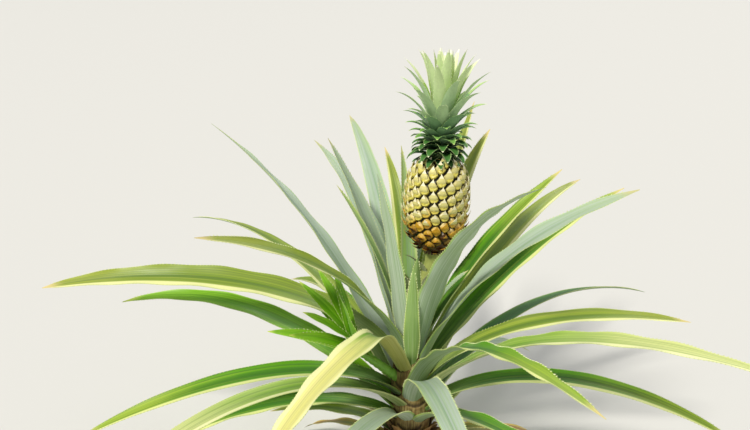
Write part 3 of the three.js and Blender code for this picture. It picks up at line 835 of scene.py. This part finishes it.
def rindSkin():
    material, tree, skin = startMaterial("rindSkin", 0.4, coat=0.2)
    place = placeOnPiece(tree)
    height = addNode(tree, "ShaderNodeSeparateXYZ", {0: place}).outputs[2]
    read = {name: readMark(tree, name) for name in rindMarks}
    mottle = noiseOn(tree, place, (420, 420, 420), (0, 0, 0))
    # Golden towards the base and cream above it, with a paler upper half to each eye
    uneven = calculate(tree, "MULTIPLY_ADD", read["tone"], 0.022, height)
    base = fruitBase.z
    ripe = fade(tree, uneven, base + fruit["ripeFrom"], base + fruit["ripeTo"])
    lowerHalf = blendColour(tree, ripe, tone("cc9a18"), tone("d6cc5c"))
    upperHalf = blendColour(tree, ripe, tone("e0b030"), tone("e0d6a2"))
    colour = blendColour(tree, fade(tree, read["rise"], -0.5, 0.5), lowerHalf, upperHalf)
    colour = layTone(tree, colour, fade(tree, mottle, 0.4, 0.7, 0.0, 0.45), "a8922e")
    beadTone = blendColour(tree, ripe, tone("f0a814"), tone("f0dd74"))
    colour = blendColour(tree, calculate(tree, "MULTIPLY", read["bead"], 0.85), colour, beadTone)
    # The dark base, the seams' own dark olive, and painted shade: near-black deep in the seams
    atBase = fade(tree, uneven, base + fruit["darkFrom"], base + fruit["darkTo"], 0.0, 0.92)
    colour = layTone(tree, colour, atBase, "3a1308")
    colour = layTone(tree, colour, fade(tree, read["seam"], 0.1, 0.55, 0.0, 0.75), "6a6114")
    # Painted shade: near-black deep in the grooves between the eyes, widest above each eye
    colour = layTone(tree, colour, fade(tree, read["seam"], 0.45, 0.85), "1e1c06")
    dressSkin(tree, skin, colour, mottle, 0.35, 0.0006)
    return material


# The rind as one skin: each eye is a raised six-sided cushion with a bead in its middle. Spare eyes beyond
# both ends close the pattern there
def makeRind():
    sites = [eyeSite(i) for i in range(-fruit["spareEyes"], fruit["eyes"] + fruit["spareEyes"])]
    eyeTree = KDTree(len(sites))
    for n, site in enumerate(sites):
        eyeTree.insert(site, n)
    eyeTree.balance()

    def reliefAt(skin):
        (centre, eye, reach), (_, _, other) = eyeTree.find_n(skin, 2)
        inside = (other - reach) / (other + reach) if other - reach > 1e-9 else 0
        climb = skin.z - centre.z
        above = climb / fruit["eyeHalfHeight"]
        aside = math.sqrt(max(reach ** 2 - climb ** 2, 0)) / fruit["eyeHalfWidth"]
        narrowing = 1 - 0.95 * min(above, 1) if above > 0 else math.sqrt(1 - 0.4 * min(above * above, 1))
        inside = min(inside, 0.55 * max(narrowing + 0.15 - aside, 0))
        cushion = smoothStep(0.0, 0.2, inside)
        height = mix(-fruit["seamDepth"], fruit["eyeHeight"], cushion)
        height += fruit["domeHeight"] * smoothStep(0.1, 0.9, inside)
        bead = math.exp(-(reach / fruit["beadRadius"]) ** 2)
        moat = math.exp(-((reach - fruit["moatRadius"]) / fruit["moatWidth"]) ** 2)
        height += fruit["beadHeight"] * bead - fruit["moatDepth"] * moat
        upwards = max(-1, min(1, climb / fruit["riseOver"]))
        height -= fruit["eyeTilt"] * upwards * cushion
        # How far into a seam: it sets both the seams' own dark olive and the painted shade deep in them
        seam = 1 - smoothStep(0.02, 0.18, inside)
        return height, {"seam": seam, "bead": bead, "tone": spread(eye, 71), "rise": upwards}

    bm = bmesh.new()
    layers = {name: bm.verts.layers.float.new(name) for name in rindMarks}
    outline = [fruitOutlineAt(ring / fruit["rings"]) for ring in range(fruit["rings"] + 1)]

    def place(turn, level):
        return outAt(360 * turn, *outline[round(level * fruit["rings"])])

    for vert in roundBody(bm, fruit["sides"], fruit["rings"], place):
        skin = vert.co.copy()
        height, marks = reliefAt(skin)
        for name, layer in layers.items():
            vert[layer] = marks[name]
        vert.co = onFruit(skin + fruitOutward(skin) * height)
    tidyShape(bm, 80)
    finishPiece(bm, "fruitRind", [rindSkin()], ["fruit"])


# A pointed bract over the lower half of each eye: cream, or golden or brown towards the fruit's base
eyeBract = {
    "height": 0.0208, "width": 0.0148, "below": 0.38, "thickness": 0.0006, "standOut": 0.0072,
    "hollow": 0.0024, "curl": 0.0012, "aside": 0.0012, "sunk": 0.0004, "leastHalf": 0.0002,
    "columns": 4, "rings": 8, "tipFrom": 0.625, "goldenBelow": 0.36, "brownBelow": 0.28,
    "tipMaterials": (3, 1, 1),
}


def bractShade(level, i):
    if level < eyeBract["brownBelow"] + 0.04 * spread(i, 73):
        return 2
    return 1 if level < eyeBract["goldenBelow"] + 0.03 * spread(i, 74) else 0


def makeEyeBracts():
    bm = bmesh.new()
    for i in range(fruit["eyes"]):
        site = eyeSite(i)
        out = fruitOutward(site)
        sideways = Vector((-site.y, site.x, 0)).normalized()
        upward = out.cross(sideways)
        size = mix(0.85, 1.08, chance(i, 72))
        shade = bractShade(site.z / fruit["height"], i)
        slab = addSlab(bm, eyeBract["columns"], eyeBract["rings"])
        for face in facesOf(slab):
            atTip = face.calc_center_median().y + 0.5 > eyeBract["tipFrom"]
            face.material_index = eyeBract["tipMaterials"][shade] if atTip else shade
        aside = eyeBract["aside"] * spread(i, 75)
        for vert in slab:
            across, along = 2 * vert.co.x, vert.co.y + 0.5
            taper = mix(0.5, 1, smoothStep(0, 0.2, along)) * (1 - smoothStep(0.3, 1.05, along))
            half = max(eyeBract["width"] / 2 * size * taper, eyeBract["leastHalf"])
            lift = mix(-eyeBract["sunk"], eyeBract["standOut"], smoothStep(0, 0.4, along))
            lift += eyeBract["curl"] * smoothStep(0.5, 0.9, along) + eyeBract["thickness"] * vert.co.z
            lift -= eyeBract["hollow"] * across * across * (1 - smoothStep(0.2, 0.7, along))
            climb = eyeBract["height"] * size * (along - eyeBract["below"])
            slide = across * half + aside * smoothStep(0.5, 1, along)
            vert.co = onFruit(site + sideways * slide + upward * climb + out * lift)
    tidyShape(bm)
    skins = [
        plainSkin("bractCream", "d6cc80", 0.45), plainSkin("bractGolden", "dca52c", 0.42),
        plainSkin("bractBrown", "481c08", 0.45), plainSkin("bractTip", "f5ecc4", 0.6),
    ]
    finishPiece(bm, "eyeBracts", skins, ["fruit"])


makeRind()
makeEyeBracts()
print("fruit made")

# The fruit's stalk, which bends from upright into the fruit's lean, and its narrow bracts
stalkBend = [
    stalkFoot,
    stalkFoot + Vector((0, 0, 0.4 * stalk["height"])),
    stalkTop - fruitAxis * (0.4 * stalk["height"]),
    stalkTop,
]


def stalkPoint(along):
    back = 1 - along
    shares = (back ** 3, 3 * back * back * along, 3 * back * along * along, along ** 3)
    return sum((point * share for point, share in zip(stalkBend, shares)), Vector())


def stalkBract(m):
    along = mix(0.12, 0.84, m / (stalk["bracts"] - 1))
    turn = 250 + m * goldenAngle
    return {
        **stalk["shared"],
        "turn": turn,
        "length": mix(0.1, 0.04, along) + 0.006 * spread(m, 11),
        "rise": mix(74, 52, along),
        "bend": mix(12, 46, along),
        "width": mix(0.026, 0.015, along),
        "phase": m,
        "root": stalkPoint(along) + outAt(turn, stalk["radius"] - stalk["bractInset"], 0),
    }


def makeStalk():
    bm = bmesh.new()

    def place(turn, level):
        ahead = (stalkPoint(min(level + 0.01, 1)) - stalkPoint(max(level - 0.01, 0))).normalized()
        sideways = ahead.cross(Vector((0, 1, 0))).normalized()
        angle = 2 * math.pi * turn
        around = sideways * math.cos(angle) - sideways.cross(ahead) * math.sin(angle)
        radius = stalk["radius"] - stalk["inset"] + stalk["ribDepth"] * math.sin(stalk["ribs"] * angle)
        return stalkPoint(level) + around * (radius + stalk["swell"] * smoothStep(0.8, 1, level))

    roundBody(bm, stalk["sides"], stalk["rings"], place)
    tidyShape(bm)
    finishPiece(bm, "stalkBody", [plainSkin("stalkSkin", "a5ad5e", 0.55, 0.5)], ["stalk"])
    bm = bmesh.new()
    bracts = [stalkBract(m) for m in range(stalk["bracts"])]
    blades = [addBlade(bm, bract, stalk["columns"], stalk["bractRings"]) for bract in bracts]
    tidyShape(bm)
    for leaf, stations in blades:
        addSpines(bm, leaf, stations, smallSpines, 2)
    skins = [
        plainSkin("stalkBractTop", "a9bd6a", 0.5), plainSkin("stalkBractUnder", "c3c9a0", 0.55),
        plainSkin("stalkBractTip", "e4dcb4", 0.6),
    ]
    finishPiece(bm, "stalkBracts", skins, ["stalk"])


makeStalk()
print("stalk made")

# The crown: short curled leaves at its foot and upright ones in its middle
crown = {
    "leaves": 88, "footRadius": 0.011, "coreRadius": 0.017, "coreTopRadius": 0.009, "coreHeight": 0.066,
    "skirtHeight": 0.005, "coreSides": 24, "coreRings": 16, "columns": 8, "rings": 20, "inset": 0.004,
    "short": 0.047, "long": 0.14,
    "shared": {
        "ease": 2, "cup": 28, "neck": 0.7, "thickness": 0.0013, "ripple": 0.0004, "rippleLength": 0.006,
        "channel": 0.0004,
    },
}


def crownCoreRadius(height):
    if height < crown["skirtHeight"]:
        return mix(crown["footRadius"], crown["coreRadius"], height / crown["skirtHeight"])
    share = (height - crown["skirtHeight"]) / (crown["coreHeight"] - crown["skirtHeight"])
    return mix(crown["coreRadius"], crown["coreTopRadius"], share)


def crownLeaf(m):
    young = m / (crown["leaves"] - 1)
    turn = 40 + m * goldenAngle + 5 * spread(m, 21)
    foot = mix(crown["skirtHeight"], crown["coreHeight"] - 0.004, young ** 0.9)
    length = mix(crown["short"], crown["long"], smoothStep(0.35, 0.85, young))
    bend = mix(100, 4, young ** 1.6) + 6 * spread(m, 24)
    return {
        **crown["shared"],
        "turn": turn,
        "length": length - 0.018 * smoothStep(0.85, 1, young) + 0.004 * spread(m, 22),
        "rise": mix(-12, 88, young ** 1.25) + bend / 3 + 3 * spread(m, 23),
        "bend": bend,
        "sway": 5 * spread(m, 25),
        "twist": 8 * spread(m, 26),
        "width": 0.88 * mix(0.023, 0.03, math.sin(math.pi * (0.15 + 0.6 * young))),
        "phase": m,
        "root": outAt(turn, crownCoreRadius(foot) - crown["inset"], foot),
    }


# The tiers of the crown: which of its leaves each holds, and their tones. Neighbours take turns with
# the first two, then come the leaf's outer part, its lower face, its edge and its tip
crownTiers = {
    # The outer tier's very dark tops and lower faces are partly its old leaves' own dark green and partly
    # painted shade under the leaves above
    "crownOuter": {
        "leaves": (0, 27), "tops": ("193f16", "234f1e"),
        "far": "42742e", "under": "2c4e28", "edge": "b4cc84", "tip": "dfe6b8",
    },
    "crownMiddle": {
        "leaves": (27, 50), "tops": ("4c7a4c", "688f60"),
        "far": "7cae50", "under": "789c70", "edge": "b0d480", "tip": "cfe08c",
    },
    "crownUpper": {
        "leaves": (50, 67), "tops": ("8ab27a", "a0c48a"),
        "far": "b6d488", "under": "b2cc9c", "edge": "d2e4a8", "tip": "e6efc4",
    },
    "crownInner": {
        "leaves": (67, 88), "tops": ("b8d870", "d2e894"),
        "far": "e8f2c0", "under": "cce0a4", "edge": "eef4cc", "tip": "f8f8e4",
    },
}
collar = {
    "leaves": 13, "length": 0.036, "foot": 0.003, "inset": 0.002, "step": 0.0015,
    "shared": {"width": 0.017, "cup": 26, "rootCup": 34, "neck": 0.9, "thickness": 0.0011},
}


# The lowest leaves of all, short and bent down over the fruit's shoulders
def collarLeaf(m):
    turn = 15 + m * 360 / collar["leaves"] + 8 * spread(m, 61)
    radius = crownCoreRadius(collar["foot"]) - collar["inset"]
    return {
        **collar["shared"],
        "turn": turn,
        "length": collar["length"] + 0.005 * spread(m, 62),
        "rise": 8 + 6 * spread(m, 63),
        "bend": 52 + 10 * spread(m, 64),
        "sway": 12 * spread(m, 65),
        "twist": 10 * spread(m, 66),
        "root": outAt(turn, radius, collar["foot"] + collar["step"] * (m % 3)),
    }


# The material of a face of the nth leaf in its tier, in the order of the tier's tones
def crownPaint(n, side, across, along):
    if along > 0.94:
        return 5
    if side == 0 or side == 1 and abs(across) > 1 - 2 / crown["columns"]:
        return 4
    if side == -1:
        return 3
    return 2 if along > 0.66 + 0.06 * spread(n, 67) else n % 2


def makeCrownTier(name, tier, standing):
    leaves = [crownLeaf(m) for m in range(*tier["leaves"])]
    if name == "crownOuter":
        leaves += [collarLeaf(m) for m in range(collar["leaves"])]
    bm = bmesh.new()
    blades = []
    for n, leaf in enumerate(leaves):
        paint = partial(crownPaint, n)
        blades.append(addBlade(bm, leaf, crown["columns"], crown["rings"], paint))
    tidyShape(bm)
    for leaf, stations in blades:
        addSpines(bm, leaf, stations, crownSpines, 4)
    bmesh.ops.transform(bm, verts=bm.verts[:], matrix=standing)
    skins = [plainSkin(f"{name}Top{n}", code, 0.42, 0.35) for n, code in enumerate(tier["tops"])]
    for part in ("far", "under", "edge", "tip"):
        skins.append(plainSkin(name + part.title(), tier[part], 0.48, 0.3))
    finishPiece(bm, name, skins, ["crown"])


def makeCrown():
    def place(turn, level):
        height = level * crown["coreHeight"]
        return outAt(360 * turn, crownCoreRadius(height), height)

    crownBase = onFruit(Vector((0, 0, fruit["height"] + clearance)))
    standing = Matrix.Translation(crownBase) @ fruitTurn.to_4x4()
    bm = bmesh.new()
    roundBody(bm, crown["coreSides"], crown["coreRings"], place)
    tidyShape(bm)
    bmesh.ops.transform(bm, verts=bm.verts[:], matrix=standing)
    finishPiece(bm, "crownCore", [plainSkin("crownCoreSkin", "56702e", 0.6)], ["crown"])
    for name, tier in crownTiers.items():
        makeCrownTier(name, tier, standing)


makeCrown()
print("crown made")

# The plain studio: floor, lights and camera
studio = {
    "floorRadius": 150, "floorTone": (0.66, 0.65, 0.62, 1),
    "skyTone": (0.94, 0.97, 1, 1), "skyStrength": 0.42,
    "suns": {
        "keySun": {"from": (-1, -1.5, 1.8), "power": 3.1, "angle": 9, "tone": (1, 0.97, 0.9)},
        "backSun": {"from": (1, 1.6, 1.8), "power": 0.9, "angle": 30, "tone": (1, 0.98, 0.94)},
    },
}
view = {
    "place": (-0.067, -1.302, 0.88), "pitch": 16.1, "lens": 37.44, "sensor": 36, "nearest": 0.01,
    "furthest": 400,
}


def makeStudio():
    bm = bmesh.new()
    bmesh.ops.create_circle(bm, cap_ends=True, segments=64, radius=studio["floorRadius"])
    material, _, skin = startMaterial("floorPaint", 0.9)
    skin.inputs["Base Color"].default_value = studio["floorTone"]
    addShape(bm, "floor", [material])
    for name, look in studio["suns"].items():
        lamp = bpy.data.lights.new(name, "SUN")
        lamp.energy = look["power"]
        lamp.angle = math.radians(look["angle"])
        lamp.color = look["tone"]
        addObject(name, lamp).rotation_euler = Vector(look["from"]).to_track_quat("Z", "Y").to_euler()
    world = bpy.data.worlds.new("sky")
    world.use_nodes = True
    background = world.node_tree.nodes["Background"]
    background.inputs["Color"].default_value = studio["skyTone"]
    background.inputs["Strength"].default_value = studio["skyStrength"]
    bpy.context.scene.world = world
    bpy.context.scene.view_settings.view_transform = "Standard"


def makeCamera():
    camera = bpy.data.cameras.new("camera")
    camera.lens = view["lens"]
    camera.sensor_width = view["sensor"]
    camera.clip_start = view["nearest"]
    camera.clip_end = view["furthest"]
    cameraObject = addObject("camera", camera)
    cameraObject.location = view["place"]
    cameraObject.rotation_euler = (math.radians(90 - view["pitch"]), 0, 0)
    bpy.context.scene.camera = cameraObject


makeStudio()
makeCamera()
print("studio and camera set")
